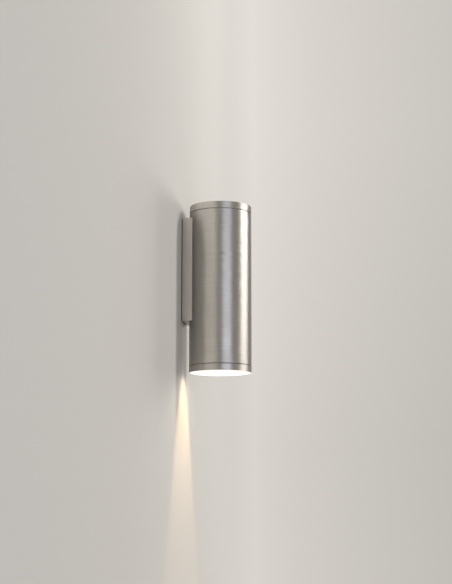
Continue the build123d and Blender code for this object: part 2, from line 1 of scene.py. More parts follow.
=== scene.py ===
# %% [markdown]
# # Tube wall light
# A brushed steel tube stands off a wall on a shallow box, with a turned ring at each end. The lower ring
# holds an opal disc, and the light falls down the wall. The solids come in as a fixed frame with their
# places in their meshes, so this script only adds finishes, fine pieces, a wall, lamps and a camera.

# %% Load the frame
import math

import bmesh
import bpy
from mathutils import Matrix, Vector


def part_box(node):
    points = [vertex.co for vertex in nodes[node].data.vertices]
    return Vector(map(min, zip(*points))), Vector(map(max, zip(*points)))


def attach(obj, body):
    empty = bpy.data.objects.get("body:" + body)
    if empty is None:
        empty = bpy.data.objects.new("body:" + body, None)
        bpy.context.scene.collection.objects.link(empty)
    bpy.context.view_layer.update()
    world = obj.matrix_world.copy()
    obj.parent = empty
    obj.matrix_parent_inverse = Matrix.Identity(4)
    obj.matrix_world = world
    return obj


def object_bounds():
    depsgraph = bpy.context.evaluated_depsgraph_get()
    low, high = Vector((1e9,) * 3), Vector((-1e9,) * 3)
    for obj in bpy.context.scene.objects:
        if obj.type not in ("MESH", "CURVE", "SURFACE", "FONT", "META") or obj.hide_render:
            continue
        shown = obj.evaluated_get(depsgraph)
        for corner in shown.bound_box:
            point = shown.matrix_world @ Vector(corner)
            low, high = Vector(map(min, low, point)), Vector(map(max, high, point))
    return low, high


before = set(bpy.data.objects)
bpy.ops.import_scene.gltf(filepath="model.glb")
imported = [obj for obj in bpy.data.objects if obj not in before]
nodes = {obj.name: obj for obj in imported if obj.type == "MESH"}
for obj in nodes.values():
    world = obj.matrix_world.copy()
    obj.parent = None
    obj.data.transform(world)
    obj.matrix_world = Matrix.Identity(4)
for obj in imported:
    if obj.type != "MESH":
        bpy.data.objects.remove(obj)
cad_box = [list(corner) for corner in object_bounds()]
MM = 0.001

# %% [markdown]
# Everything round on this light shares one upright axis. It is measured from the tube, so that a change of
# the tube's size moves every pattern and lamp with it.

# %% Measure the tube, the disc and the wall gasket
tube_low, tube_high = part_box("tube_body")
tube_radius = (tube_high.x - tube_low.x) / 2
tube_axis = Vector((0, tube_high.y - tube_radius, 0))
lens_low, lens_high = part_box("lens")
lens_radius = (lens_high.x - lens_low.x) / 2
gasket_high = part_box("wall_gasket")[1]
light_centre = Vector((0, tube_axis.y, (cad_box[0][2] + cad_box[1][2]) / 2))
print("tube radius", round(tube_radius / MM, 2), "mm, axis", round(tube_axis.y / MM, 2), "mm from the wall")

# %% [markdown]
# The photograph is taken from the left, close to the wall and from below the light, with a long lens. The
# near-parallel sides of the tube and the small ellipse of its lower end give the distance and the tilt.

# %% Camera
image_height = 584
sensor_width = 36.0
focal_pixels = 1344
camera_place = Vector((-1.565, -0.241, -0.294))
camera_yaw = math.radians(6.934)
camera_pitch = math.radians(9.674)
sight_limit = 50

camera = bpy.data.objects.new("camera", bpy.data.cameras.new("camera"))
bpy.context.scene.collection.objects.link(camera)
look = Vector((
    math.cos(camera_pitch) * math.cos(camera_yaw),
    math.cos(camera_pitch) * math.sin(camera_yaw),
    math.sin(camera_pitch),
))
camera.location = camera_place
camera.rotation_euler = look.to_track_quat("-Z", "Y").to_euler()
camera.data.sensor_width = sensor_width
camera.data.lens = focal_pixels / image_height * sensor_width
camera.data.clip_end = sight_limit
bpy.context.scene.camera = camera
bpy.context.scene.view_settings.view_transform = "Standard"
print("lens", round(camera.data.lens, 1), "mm")

# %% [markdown]
# Two helpers serve every material. One turns a colour, written as it looks on a screen, into the linear
# values that the renderer mixes. The other adds a node, sets it up and links it in one line.

# %% Helpers for colours and nodes
def colour(text):
    """Linear RGBA of an sRGB colour written as #rrggbb."""
    channels = [int(text[i:i + 2], 16) / 255 for i in (1, 3, 5)]
    linear = [c / 12.92 if c <= 0.04045 else ((c + 0.055) / 1.055) ** 2.4 for c in channels]
    return (*linear, 1.0)


def add(tree, kind, inputs=(), **settings):
    """Add a node to a tree. Inputs map a socket to a value or to another node's output."""
    node = tree.nodes.new(kind)
    for name, value in settings.items():
        setattr(node, name, value)
    for name, value in dict(inputs).items():
        if isinstance(value, bpy.types.NodeSocket):
            tree.links.new(value, node.inputs[name])
        else:
            node.inputs[name].default_value = value
    return node


def new_material(name):
    """An empty node material and its output's surface socket."""
    material = bpy.data.materials.new(name)
    material.use_nodes = True
    material.node_tree.nodes.clear()
    output = add(material.node_tree, "ShaderNodeOutputMaterial")
    return material, material.node_tree, output.inputs["Surface"]


print("a mid grey #808080 is", round(colour("#808080")[0], 3), "in linear light")

# %% [markdown]
# The light hangs on a painted wall, and the tube mirrors that wall over half its width, so the wall is part
# of the look. It is an upright sheet that turns forward at the right through a small cove. A hole behind the
# box leaves the box's own back in view from behind. The far part, with the corner, casts no shadow, because
# the lamps on that side stand behind it.

# %% Wall and floor shapes
wall_clearance = 0.1 * MM
wall_far_left = -0.80
sheets_meet_x = 0.40
corner_x = 0.90
cove_radius = 0.06
cove_steps = 12
return_depth = 0.40
floor_z = -1.35
ceiling_z = 1.6
floor_half = 6.0
hole_margin = 1 * MM
hole_cell = (1, 1)
near_columns = 3

hole_x = gasket_high.x - hole_margin
hole_z = gasket_high.z - hole_margin
profile = [(x, 0.0) for x in (wall_far_left, -hole_x, hole_x, sheets_meet_x, corner_x - cove_radius)]
for step in range(1, cove_steps + 1):
    turn = math.pi / 2 * step / cove_steps
    profile.append((
        corner_x - cove_radius + cove_radius * math.sin(turn),
        -cove_radius + cove_radius * math.cos(turn),
    ))
profile.append((corner_x, -return_depth))
levels = [floor_z, -hole_z, hole_z, ceiling_z]


def wall_sheet(name, first, last, hole=None):
    """The part of the wall between two columns of its profile, with one cell left open as the hole."""
    sheet = bmesh.new()
    grid = [[sheet.verts.new((x, y + wall_clearance, z)) for z in levels] for x, y in profile]
    for column in range(first, last):
        for row in range(len(levels) - 1):
            if (column, row) != hole:
                left, right = grid[column], grid[column + 1]
                sheet.faces.new((left[row], right[row], right[row + 1], left[row + 1]))
    wall_object = bpy.data.objects.new(name, bpy.data.meshes.new(name))
    sheet.to_mesh(wall_object.data)
    sheet.free()
    return wall_object


wall = wall_sheet("wall", 0, near_columns, hole=hole_cell)
return_wall = wall_sheet("return_wall", near_columns, len(profile) - 1)
return_wall.visible_shadow = False

floor = bpy.data.objects.new("floor", bpy.data.meshes.new("floor"))
floor.data.from_pydata(
    [(x * floor_half, y * floor_half, floor_z) for x, y in ((-1, -1), (1, -1), (1, 1), (-1, 1))],
    [],
    [(0, 1, 2, 3)],
)
for surface_object in (wall, return_wall, floor):
    bpy.context.scene.collection.objects.link(surface_object)
print("wall hole", round(2 * hole_x / MM, 1), "by", round(2 * hole_z / MM, 1), "mm")

# %% [markdown]
# Matt wall paint put on with a roller has a faint stipple of about a millimetre and no gloss. In the
# photograph, the wall grows paler toward the corner than the lamps alone would make it. That is painted
# light: past the light the paint fades into an even glow, which the camera sees and which lights nothing.
# The glow is a little weaker toward the floor, and darker out along the return wall. The room beyond the
# picture isn't known, so the metal's reflections see painted shade and painted light: two stretches of the
# wall are painted darker for reflections than for the eye, and the one between them a little paler. From
# behind, the camera looks through the sheet, so that the back of the light can be seen, and the sheet still
# stops light.

# %% Wall paint with painted light and shade, and floor
roller_stipple = 1.2 * MM
stipple_depth = 0.1 * MM
stipple_strength = 0.12
near_dim_x = (-0.16, -0.34)
behind_dim_x = (-0.045, -0.005)
glow_start_x = 0.12
glow_end_x = 0.50
mirrored_glow_x = (0.50, 0.80)
glow_fall_z = (-0.15, 0.44)
glow_at_foot = 0.90
glow_into_corner = 0.6

wall_paint_and_painted_light, tree, surface = new_material("matt_wall_paint")
place = add(tree, "ShaderNodeTexCoord").outputs["Object"]
stipple = add(tree, "ShaderNodeTexNoise", {"Vector": place, "Scale": 1 / roller_stipple, "Detail": 2})
relief = add(tree, "ShaderNodeBump", {
    "Height": stipple.outputs["Fac"], "Strength": stipple_strength, "Distance": stipple_depth})
light_path = add(tree, "ShaderNodeLightPath").outputs
parts = add(tree, "ShaderNodeSeparateXYZ", {0: place})
near_dim, behind_dim, mirrored_glow = (
    add(tree, "ShaderNodeMapRange", {
        "Value": parts.outputs["X"], "From Min": start, "From Max": end},
        interpolation_type="SMOOTHSTEP")
    for start, end in (near_dim_x, behind_dim_x, mirrored_glow_x))
painted_shade_stretch = add(tree, "ShaderNodeMath", {
    0: near_dim.outputs[0], 1: behind_dim.outputs[0]}, operation="MAXIMUM")
# Painted shade and painted light in reflections: the metal sees the wall darker in two stretches and paler
# between them.
painted_reflection_colour = add(tree, "ShaderNodeMix", {
    "Factor": painted_shade_stretch.outputs[0], 6: colour("#e0ddd8"), 7: colour("#a6a49f")}, data_type="RGBA")
paint_and_painted_reflection_colour = add(tree, "ShaderNodeMix", {
    "Factor": light_path["Is Glossy Ray"], 6: colour("#d2cfca"), 7: painted_reflection_colour.outputs[2]},
    data_type="RGBA")
paint = add(tree, "ShaderNodeBsdfDiffuse", {
    "Color": paint_and_painted_reflection_colour.outputs[2], "Roughness": 0.0, "Normal": relief.outputs["Normal"]})
toward_corner = add(tree, "ShaderNodeMapRange", {
    "Value": parts.outputs["X"], "From Min": glow_start_x, "From Max": glow_end_x},
    interpolation_type="SMOOTHSTEP")
mirrored = add(tree, "ShaderNodeMath", {
    0: light_path["Is Glossy Ray"], 1: mirrored_glow.outputs[0]}, operation="MULTIPLY")
seen = add(tree, "ShaderNodeMath", {
    0: light_path["Is Camera Ray"], 1: mirrored.outputs[0]}, operation="MAXIMUM")
seen_at_all = add(tree, "ShaderNodeMath", {
    0: seen.outputs[0], 1: light_path["Is Transmission Ray"]}, operation="MAXIMUM")
glow_share = add(tree, "ShaderNodeMath", {
    0: seen_at_all.outputs[0], 1: toward_corner.outputs[0]}, operation="MULTIPLY")
along_return = add(tree, "ShaderNodeMapRange", {
    "Value": parts.outputs["Y"], "From Min": 0.0, "From Max": -return_depth})
glow_bend = add(tree, "ShaderNodeMath", {
    0: along_return.outputs[0], 1: glow_into_corner}, operation="POWER")
along_wall = add(tree, "ShaderNodeMapRange", {
    "Value": parts.outputs["X"], "From Min": glow_start_x, "From Max": corner_x})
glow_on_wall = add(tree, "ShaderNodeMix", {
    "Factor": along_wall.outputs[0], 6: colour("#d9d4ce"), 7: colour("#e5dfd9")}, data_type="RGBA")
glow_colour = add(tree, "ShaderNodeMix", {
    "Factor": glow_bend.outputs[0], 6: glow_on_wall.outputs[2], 7: colour("#c9c6bf")}, data_type="RGBA")
glow_fall = add(tree, "ShaderNodeMapRange", {
    "Value": parts.outputs["Z"], "From Min": glow_fall_z[0], "From Max": glow_fall_z[1],
    "To Min": glow_at_foot, "To Max": 1.0})
# Painted light: the wall glows paler toward the corner and weaker toward the floor, and lights nothing.
glow = add(tree, "ShaderNodeEmission", {
    "Color": glow_colour.outputs[2], "Strength": glow_fall.outputs[0]})
paint_or_painted_light = add(tree, "ShaderNodeMixShader", {
    "Fac": glow_share.outputs[0], 1: paint.outputs[0], 2: glow.outputs[0]})
seen_from_behind = add(tree, "ShaderNodeMath", {
    0: add(tree, "ShaderNodeNewGeometry").outputs["Backfacing"],
    1: light_path["Is Camera Ray"],
}, operation="MULTIPLY")
clear = add(tree, "ShaderNodeBsdfTransparent")
mixed = add(tree, "ShaderNodeMixShader", {
    "Fac": seen_from_behind.outputs[0], 1: paint_or_painted_light.outputs[0], 2: clear.outputs[0]})
tree.links.new(mixed.outputs[0], surface)
wall.data.materials.append(wall_paint_and_painted_light)
return_wall.data.materials.append(wall_paint_and_painted_light)

floor_paint, tree, surface = new_material("matt_floor_paint")
tree.links.new(
    add(tree, "ShaderNodeBsdfDiffuse", {"Color": colour("#d2cdc6")}).outputs[0], surface)
floor.data.materials.append(floor_paint)
print("wall and floor are painted")

# %% [markdown]
# Brushed metal has little colour of its own and shows what stands around it. Each upright band on the tube
# is a soft lamp or a dark stretch of the room, at the direction that the tube's curve sends the eye to. A
# softbox is set by its direction from the tube, the angle it fills and how bright it looks. A direction of 0
# degrees is straight out from the wall, and 90 degrees is to the right along the wall.
#
# The work is split, because the bands ask for wide, mild lamps and the shadows ask for narrow, strong ones.
# The key lights the wall from high in front and makes the short, dark shadow. The two side fills come from
# the far right, low along the wall, and make the long, soft shadow on the left. The left fill keeps the
# shadows from going black. The metal shows the other two: the white band on the right and the cool one on
# the left.

# %% Lamps and room light
room_brightness = 0.255


def softbox(name, azimuth, elevation, wide, high, radiance, tint, mirrored=True, lights=True, distance=2.4):
    """A rectangular lamp that fills wide by high degrees, for the metal's reflections, for light, or both."""
    data = bpy.data.lights.new(name, "AREA")
    data.shape = "RECTANGLE"
    data.size = 2 * distance * math.tan(math.radians(wide) / 2)
    data.size_y = 2 * distance * math.tan(math.radians(high) / 2)
    data.energy = radiance * math.pi * data.size * data.size_y
    data.color = colour(tint)[:3]
    a, e = math.radians(azimuth), math.radians(elevation)
    outward = Vector((math.sin(a) * math.cos(e), -math.cos(a) * math.cos(e), math.sin(e)))
    lamp = bpy.data.objects.new(name, data)
    lamp.location = light_centre + outward * distance
    lamp.rotation_euler = outward.to_track_quat("Z", "Y").to_euler()
    lamp.visible_camera = False
    lamp.visible_glossy = mirrored
    lamp.visible_diffuse = lights
    bpy.context.scene.collection.objects.link(lamp)


softbox(
    "key_softbox", azimuth=19.5, elevation=38, wide=10, high=22, radiance=22.6,
    tint="#fffefb", mirrored=False)
softbox(
    "band_softbox", azimuth=20.5, elevation=26, wide=35, high=26, radiance=4.5,
    tint="#fffcf8", lights=False)
softbox(
    "cool_softbox", azimuth=-59, elevation=-8, wide=31, high=40, radiance=1.42,
    tint="#e3edff")
for side_fill_name, side_fill_elevation in (("side_fill_high", 13), ("side_fill_low", 5)):
    softbox(
        side_fill_name, azimuth=73, elevation=side_fill_elevation, wide=20, high=10, radiance=21.6,
        tint="#fffefc", mirrored=False)
softbox(
    "left_fill", azimuth=-72, elevation=0, wide=16, high=40, radiance=1.3,
    tint="#f8fbff", mirrored=False)

world = bpy.data.worlds.new("room")
world.use_nodes = True
world.node_tree.nodes.clear()
room = add(world.node_tree, "ShaderNodeBackground", {"Color": colour("#fff8f0"), "Strength": room_brightness})
room_output = add(world.node_tree, "ShaderNodeOutputWorld")
world.node_tree.links.new(room.outputs[0], room_output.inputs["Surface"])
bpy.context.scene.world = world

# %% [markdown]
# The lamp sits deep in the tube, and its beam is cut by the tube's mouth. The wall cuts that cone along a
# hyperbola, whose tip is just below the lower ring. A spot lamp stands in for the beam. It casts no shadow,
# because the real one shines through the disc.

# %% Beam on the wall
beam_source_z = -28 * MM
beam_half_angle = math.radians(25.0)
beam_edge = 0.45
beam_power = 2.8
beam_source_radius = 2 * MM

beam_data = bpy.data.lights.new("down_beam", "SPOT")
beam_data.spot_size = 2 * beam_half_angle
beam_data.spot_blend = beam_edge
beam_data.energy = beam_power
beam_data.color = colour("#ffd8a2")[:3]
beam_data.shadow_soft_size = beam_source_radius
beam_data.use_shadow = False
beam = bpy.data.objects.new("down_beam", beam_data)
beam.location = (0, tube_axis.y, beam_source_z)
beam.visible_glossy = False
bpy.context.scene.collection.objects.link(beam)

beam_tip_z = beam_source_z + tube_axis.y / math.tan(beam_half_angle)
print("beam meets the wall", round((cad_box[0][2] - beam_tip_z) / MM, 1), "mm below the light")

# %% [markdown]
# The disc also scatters some light to all sides. A lamp as wide as the disc puts that soft spill on the wall.
# It hangs a little below the lower ring, so that it stays clear when the ring is unscrewed by 3 mm.

# %% Spill from the disc
spill_drop = 3.5 * MM
spill_radiance = 1.7

spill_data = bpy.data.lights.new("disc_spill", "AREA")
spill_data.shape = "DISK"
spill_data.size = 2 * lens_radius
spill_data.energy = spill_radiance * (math.pi * spill_data.size / 2) ** 2
spill_data.color = colour("#ffd9b4")[:3]
disc_spill = bpy.data.objects.new("disc_spill", spill_data)
disc_spill.location = (0, tube_axis.y, cad_box[0][2] - spill_drop)
disc_spill.visible_camera = False
disc_spill.visible_glossy = False
bpy.context.scene.collection.objects.link(disc_spill)
print("spill lamp", round(spill_data.size / MM, 1), "mm across")

# %% [markdown]
# Satin stainless steel is brushed with an abrasive band, which leaves fine parallel scratches. They scatter
# light across their own direction much more than along it, so each highlight is drawn out at right angles to
# the brushing. The shader's anisotropy does that, and it needs the direction across the scratches. The
# scratches themselves are a noise that is short across the brushing and long along it. Real ones are about
# 0.1 mm apart. These are drawn ten times as coarse, so that they show at this distance. The noise also tips
# the surface a little along the brushing, which frays the edges of the bright and dark bands. The bore of a
# ring is painted dark, a painted shade, so the gap between ring and tube reads as a dark line.
#
# A noise seldom leaves the middle of its range, so that middle is what each setting runs over. The upright
# scratches slant a little, because a direction can't be worked out where they lie exactly along the surface's
# own normal.

# %% Brushed steel
scratch_width = 1.0 * MM
scratch_length = 60 * MM
upright_slant = 0.02
smudges_per_metre = 35.0
seed_step = 37
smudge_gloss = 0.03
noise_low, noise_high = 0.3, 0.7
fray_low, fray_high = 0.25, 0.75


def from_axis(tree):
    """Place measured from the tube's axis, and the same flattened to the level of the axis point."""
    place = add(tree, "ShaderNodeTexCoord").outputs["Object"]
    centred = add(tree, "ShaderNodeVectorMath", {0: place, 1: tube_axis}, operation="SUBTRACT")
    outward = add(tree, "ShaderNodeVectorMath", {0: centred.outputs[0], 1: (1, 1, 0)}, operation="MULTIPLY")
    return centred, outward


def radius_from_axis(tree):
    """Distance from the tube's axis."""
    outward = from_axis(tree)[1]
    return add(tree, "ShaderNodeVectorMath", {0: outward.outputs[0]}, operation="LENGTH").outputs["Value"]


def turned_lay(tree):
    """Pattern place and scratch direction for brushing round the tube's axis, also on flat end faces."""
    centred, outward = from_axis(tree)
    radius = add(tree, "ShaderNodeVectorMath", {0: outward.outputs[0]}, operation="LENGTH")
    parts = add(tree, "ShaderNodeSeparateXYZ", {0: centred.outputs[0]})
    depth = add(tree, "ShaderNodeMath", {0: parts.outputs["Z"], 1: radius.outputs["Value"]}, operation="ADD")
    pattern = add(tree, "ShaderNodeCombineXYZ", {
        0: parts.outputs["X"], 1: parts.outputs["Y"], 2: depth.outputs[0]})
    around = add(tree, "ShaderNodeVectorMath", {
        0: (0, 0, 1), 1: outward.outputs[0]}, operation="CROSS_PRODUCT")
    lay = add(tree, "ShaderNodeVectorMath", {0: around.outputs[0]}, operation="NORMALIZE")
    return pattern.outputs[0], lay.outputs[0], (1 / scratch_length, 1 / scratch_length, 1 / scratch_width)


def upright_lay(tree):
    """Pattern place and scratch direction for straight upright brushing."""
    place = add(tree, "ShaderNodeTexCoord").outputs["Object"]
    lay = add(tree, "ShaderNodeCombineXYZ", {0: upright_slant, 1: 0.0, 2: 1.0})
    return place, lay.outputs[0], (1 / scratch_width, 1 / scratch_width, 1 / scratch_length)


def brushed_metal(name, lay_of, dark, light, roughness, anisotropy, fray, seed, bore=0.0):
    """Satin metal, with its scratches laid by one of the two functions above, and painted shade in the bore.
    """
    material, tree, surface = new_material(name)
    pattern, lay, scale = lay_of(tree)
    shifted = add(tree, "ShaderNodeVectorMath", {
        0: pattern, 1: (seed * MM * seed_step,) * 3}, operation="ADD")
    fine = add(tree, "ShaderNodeVectorMath", {0: shifted.outputs[0], 1: scale}, operation="MULTIPLY")
    scratches = add(tree, "ShaderNodeTexNoise", {
        "Vector": fine.outputs[0], "Scale": 1.0, "Detail": 3.0, "Roughness": 0.65})
    smudges = add(tree, "ShaderNodeTexNoise", {
        "Vector": shifted.outputs[0], "Scale": smudges_per_metre, "Detail": 2.0})
    tone = add(tree, "ShaderNodeMix", {
        "Factor": scratches.outputs["Fac"], 6: colour(dark), 7: colour(light)}, data_type="RGBA")
    # Painted shade: inside the ring's bore the metal is painted a dark tone.
    in_painted_shade_bore = add(tree, "ShaderNodeMath", {0: radius_from_axis(tree), 1: bore}, operation="LESS_THAN")
    tone_with_painted_shade = add(tree, "ShaderNodeMix", {
        "Factor": in_painted_shade_bore.outputs[0], 6: tone.outputs[2], 7: colour("#3c3b39")}, data_type="RGBA")
    gloss = add(tree, "ShaderNodeMapRange", {
        "Value": smudges.outputs["Fac"], "From Min": noise_low, "From Max": noise_high,
        "To Min": roughness - smudge_gloss, "To Max": roughness + smudge_gloss})
    normal = add(tree, "ShaderNodeNewGeometry").outputs["Normal"]
    across = add(tree, "ShaderNodeVectorMath", {0: normal, 1: lay}, operation="CROSS_PRODUCT")
    tilt = add(tree, "ShaderNodeMapRange", {
        "Value": scratches.outputs["Fac"], "From Min": fray_low, "From Max": fray_high,
        "To Min": -fray, "To Max": fray})
    frayed = add(tree, "ShaderNodeVectorMath", {
        0: lay, 1: tilt.outputs[0], 2: normal}, operation="MULTIPLY_ADD")
    tipped = add(tree, "ShaderNodeVectorMath", {0: frayed.outputs[0]}, operation="NORMALIZE")
    shader = add(tree, "ShaderNodeBsdfPrincipled", {
        "Base Color": tone_with_painted_shade.outputs[2], "Metallic": 1.0, "Roughness": gloss.outputs[0],
        "Anisotropic": anisotropy, "Normal": tipped.outputs[0], "Tangent": across.outputs[0]})
    tree.links.new(shader.outputs[0], surface)
    return material


rim_width = 0.85 * MM
ring_look = {
    "lay_of": turned_lay, "dark": "#ccc8c2", "light": "#e6e2dd", "roughness": 0.40, "anisotropy": 0.85,
    "fray": 0.05, "seed": 2, "bore": tube_radius - rim_width,
}

finishes = {
    "brushed_tube": brushed_metal(
        "satin_steel_tube", turned_lay, "#ccc8c2", "#e6e2dd", 0.40, 0.85, 0.07, 1),
    "brushed_ring": brushed_metal("satin_steel_ring", **ring_look),
    "brushed_plate": brushed_metal(
        "satin_steel_plate", turned_lay, "#d2cec8", "#e0dcd7", 0.42, 0.75, 0.03, 3),
    "brushed_box": brushed_metal(
        "satin_steel_box", upright_lay, "#cbc6bf", "#d8d4cd", 0.30, 0.5, 0.01, 4),
    "turned_aluminium": brushed_metal(
        "turned_aluminium", turned_lay, "#c9cbcd", "#dfe0e1", 0.34, 0.6, 0.03, 5),
}
print("brushed:", sorted(finishes))

# %% [markdown]
# The lower ring's flat rim lies beside the glowing disc. An emission on the rim is painted light that stands
# in for the disc's light on it, so from below the disc seems to run out to the ring's edge. The rim is found
# as the lowest part of the ring that faces down.

# %% Lit rim with painted light
ring_low, ring_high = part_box("bezel_ring")
downward_normal = -0.6
rim_reach = 0.4 * MM
painted_rim_glow = 0.7

ring_with_painted_rim_light = brushed_metal("satin_steel_ring_with_painted_rim_light", **ring_look)
tree = ring_with_painted_rim_light.node_tree
facing = add(tree, "ShaderNodeSeparateXYZ", {0: add(tree, "ShaderNodeTexCoord").outputs["Normal"]})
faces_down = add(tree, "ShaderNodeMath", {
    0: facing.outputs["Z"], 1: downward_normal}, operation="LESS_THAN")
height = add(tree, "ShaderNodeSeparateXYZ", {0: add(tree, "ShaderNodeTexCoord").outputs["Object"]})
at_rim = add(tree, "ShaderNodeMath", {
    0: height.outputs["Z"], 1: ring_low.z + rim_reach}, operation="LESS_THAN")
on_rim = add(tree, "ShaderNodeMath", {
    0: faces_down.outputs[0], 1: at_rim.outputs[0]}, operation="MULTIPLY")
# Painted light: the rim glows as if lit by the disc beside it.
rim_strength = add(tree, "ShaderNodeMath", {0: on_rim.outputs[0], 1: painted_rim_glow}, operation="MULTIPLY")
shader = next(node for node in tree.nodes if node.type == "BSDF_PRINCIPLED")
shader.inputs["Emission Color"].default_value = colour("#fffef8")
tree.links.new(rim_strength.outputs[0], shader.inputs["Emission Strength"])
print("rim", round((ring_high.x - lens_high.x) / MM, 2), "mm wide")

# %% [markdown]
# The disc is opal acrylic, lit from behind by the lamp, so it glows evenly and looks a little deeper in
# colour next to the ring, where the light has come further through it.

# %% Opal disc
disc_edge_start = 0.8 * lens_radius
disc_glow = 0.82

material, tree, surface = new_material("opal_acrylic_disc")
edge = add(tree, "ShaderNodeMapRange", {
    "Value": radius_from_axis(tree), "From Min": disc_edge_start, "From Max": lens_radius},
    interpolation_type="SMOOTHSTEP")
glow = add(tree, "ShaderNodeMix", {
    "Factor": edge.outputs[0], 6: colour("#fffffa"), 7: colour("#fdfdf8")}, data_type="RGBA")
shader = add(tree, "ShaderNodeBsdfPrincipled", {
    "Base Color": colour("#bcbbb8"), "Roughness": 0.35,
    "Emission Color": glow.outputs[2], "Emission Strength": disc_glow})
tree.links.new(shader.outputs[0], surface)
finishes["opal_lens"] = material
print("disc", round(2 * lens_radius / MM, 1), "mm across")

# %% [markdown]
# The other parts are moulded, fired or plated. A moulded or fired part has one colour and a fine grain in
# its surface. A plated part is metal whose tone shifts a little from place to place. The two functions below
# make both, with the grain and the patches measured in millimetres. No grain given below is finer than half
# a millimetre, so that it shows up close without shimmering from afar.

# %% Helpers for moulded and plated parts
grain_strength = 0.5
grain_gloss = 0.04
patch_gloss = 0.06


def moulded(name, tint, roughness, grain, depth, **shader_values):
    """Rubber, plastic, ceramic or enamel: one colour over a surface grain, sizes in millimetres."""
    material, tree, surface = new_material(name)
    place = add(tree, "ShaderNodeTexCoord").outputs["Object"]
    pattern = add(tree, "ShaderNodeTexNoise", {"Vector": place, "Scale": 1 / (grain * MM), "Detail": 2.0})
    relief = add(tree, "ShaderNodeBump", {
        "Height": pattern.outputs["Fac"], "Strength": grain_strength, "Distance": depth * MM})
    gloss = add(tree, "ShaderNodeMapRange", {
        "Value": pattern.outputs["Fac"], "From Min": noise_low, "From Max": noise_high,
        "To Min": roughness - grain_gloss, "To Max": roughness + grain_gloss})
    shader = add(tree, "ShaderNodeBsdfPrincipled", {
        "Base Color": colour(tint), "Roughness": gloss.outputs[0], "Normal": relief.outputs["Normal"]})
    for socket, value in shader_values.items():
        shader.inputs[socket.replace("_", " ")].default_value = value
    tree.links.new(shader.outputs[0], surface)
    return material


def plated(name, dark, light, roughness, patch, stretch=(1, 1, 1)):
    """Plated or drawn metal: its tone and gloss shift over patches of the given size in millimetres."""
    material, tree, surface = new_material(name)
    place = add(tree, "ShaderNodeTexCoord").outputs["Object"]
    scaled = add(tree, "ShaderNodeVectorMath", {0: place, 1: stretch}, operation="MULTIPLY")
    pattern = add(tree, "ShaderNodeTexNoise", {
        "Vector": scaled.outputs[0], "Scale": 1 / (patch * MM), "Detail": 4.0})
    tone = add(tree, "ShaderNodeMix", {
        "Factor": pattern.outputs["Fac"], 6: colour(dark), 7: colour(light)}, data_type="RGBA")
    gloss = add(tree, "ShaderNodeMapRange", {
        "Value": pattern.outputs["Fac"], "From Min": noise_low, "From Max": noise_high,
        "To Min": roughness - patch_gloss, "To Max": roughness + patch_gloss})
    shader = add(tree, "ShaderNodeBsdfPrincipled", {
        "Base Color": tone.outputs[2], "Metallic": 1.0, "Roughness": gloss.outputs[0]})
    tree.links.new(shader.outputs[0], surface)
    return material


print("two helpers for the remaining finishes")

# %% [markdown]
# Seals and the grommet are matt black rubber with the fine grain of their mould. The two seals in the
# grooves are a paler grey rubber, because the photograph shows the grooves as grey lines rather than black
# ones. The flat rings beside the discs are clear silicone.

# %% Rubber and silicone
finishes["black_rubber"] = moulded("black_moulded_rubber", "#202021", 0.72, 0.5, 0.03)
finishes["clear_silicone"] = moulded(
    "clear_silicone", "#e6eaea", 0.35, 0.8, 0.02, Transmission_Weight=0.6, IOR=1.41)
groove_rubber = moulded("grey_moulded_rubber", "#6f6f70", 0.7, 0.5, 0.03)
print("rubber for", [name for name in nodes if "seal" in name or "gasket" in name or "grommet" in name])

# %% [markdown]
# Inside the tube, the reflector and the lamp's shell are white and smooth, the lampholder is fired steatite
# with a slight speckle, and the terminal block is polyamide, a little translucent. The lamp's front is clear
# acrylic over a small lens for each light.

# %% Reflector, lamp, lampholder and terminal block
finishes["white_reflector"] = moulded("white_enamelled_reflector", "#f2f2ee", 0.32, 1.5, 0.02)
finishes["white_lamp_shell"] = moulded("white_moulded_polycarbonate", "#f0efeb", 0.38, 0.6, 0.02)
finishes["steatite"] = moulded("fired_steatite", "#e7dfcf", 0.5, 0.7, 0.06)
finishes["terminal_polyamide"] = moulded(
    "natural_polyamide", "#ebe7da", 0.45, 0.6, 0.02, Subsurface_Weight=0.2, Subsurface_Scale=0.002)
finishes["clear_lamp_lens"] = moulded(
    "clear_acrylic", "#fafcfc", 0.08, 3.0, 0.10, Transmission_Weight=1.0, IOR=1.49)
print("inside:", [name for name in nodes if "lamp" in name or "terminal" in name or name == "reflector"])

# %% [markdown]
# The lamp's board is white, and each light on it is a yellow phosphor patch. The patches are the small
# raised discs under the board, so height alone tells them from the board.

# %% Lamp board
board_low, board_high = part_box("lamp_board")
phosphor_depth = 0.5 * MM
board_grain = 0.8 * MM

material, tree, surface = new_material("white_board_with_phosphor")
place = add(tree, "ShaderNodeTexCoord").outputs["Object"]
parts = add(tree, "ShaderNodeSeparateXYZ", {0: place})
on_light = add(tree, "ShaderNodeMath", {
    0: parts.outputs["Z"], 1: board_low.z + phosphor_depth}, operation="LESS_THAN")
weave = add(tree, "ShaderNodeTexNoise", {"Vector": place, "Scale": 1 / board_grain, "Detail": 2.0})
mask = add(tree, "ShaderNodeMix", {
    "Factor": weave.outputs["Fac"], 6: colour("#eceae3"), 7: colour("#f6f5f0")}, data_type="RGBA")
face = add(tree, "ShaderNodeMix", {
    "Factor": on_light.outputs[0], 6: mask.outputs[2], 7: colour("#e8c14a")}, data_type="RGBA")
shader = add(tree, "ShaderNodeBsdfPrincipled", {"Base Color": face.outputs[2], "Roughness": 0.4})
tree.links.new(shader.outputs[0], surface)
finishes["lamp_board"] = material
print("board", round((board_high.z - board_low.z) / MM, 2), "mm thick with its lights")

# %% [markdown]
# Hidden metal is plated or plain. Brass contacts are nickel plated and slightly warm, sheet and screws are
# zinc plated and bluish, the wire rings are drawn spring steel, and the two grub screws are stainless.

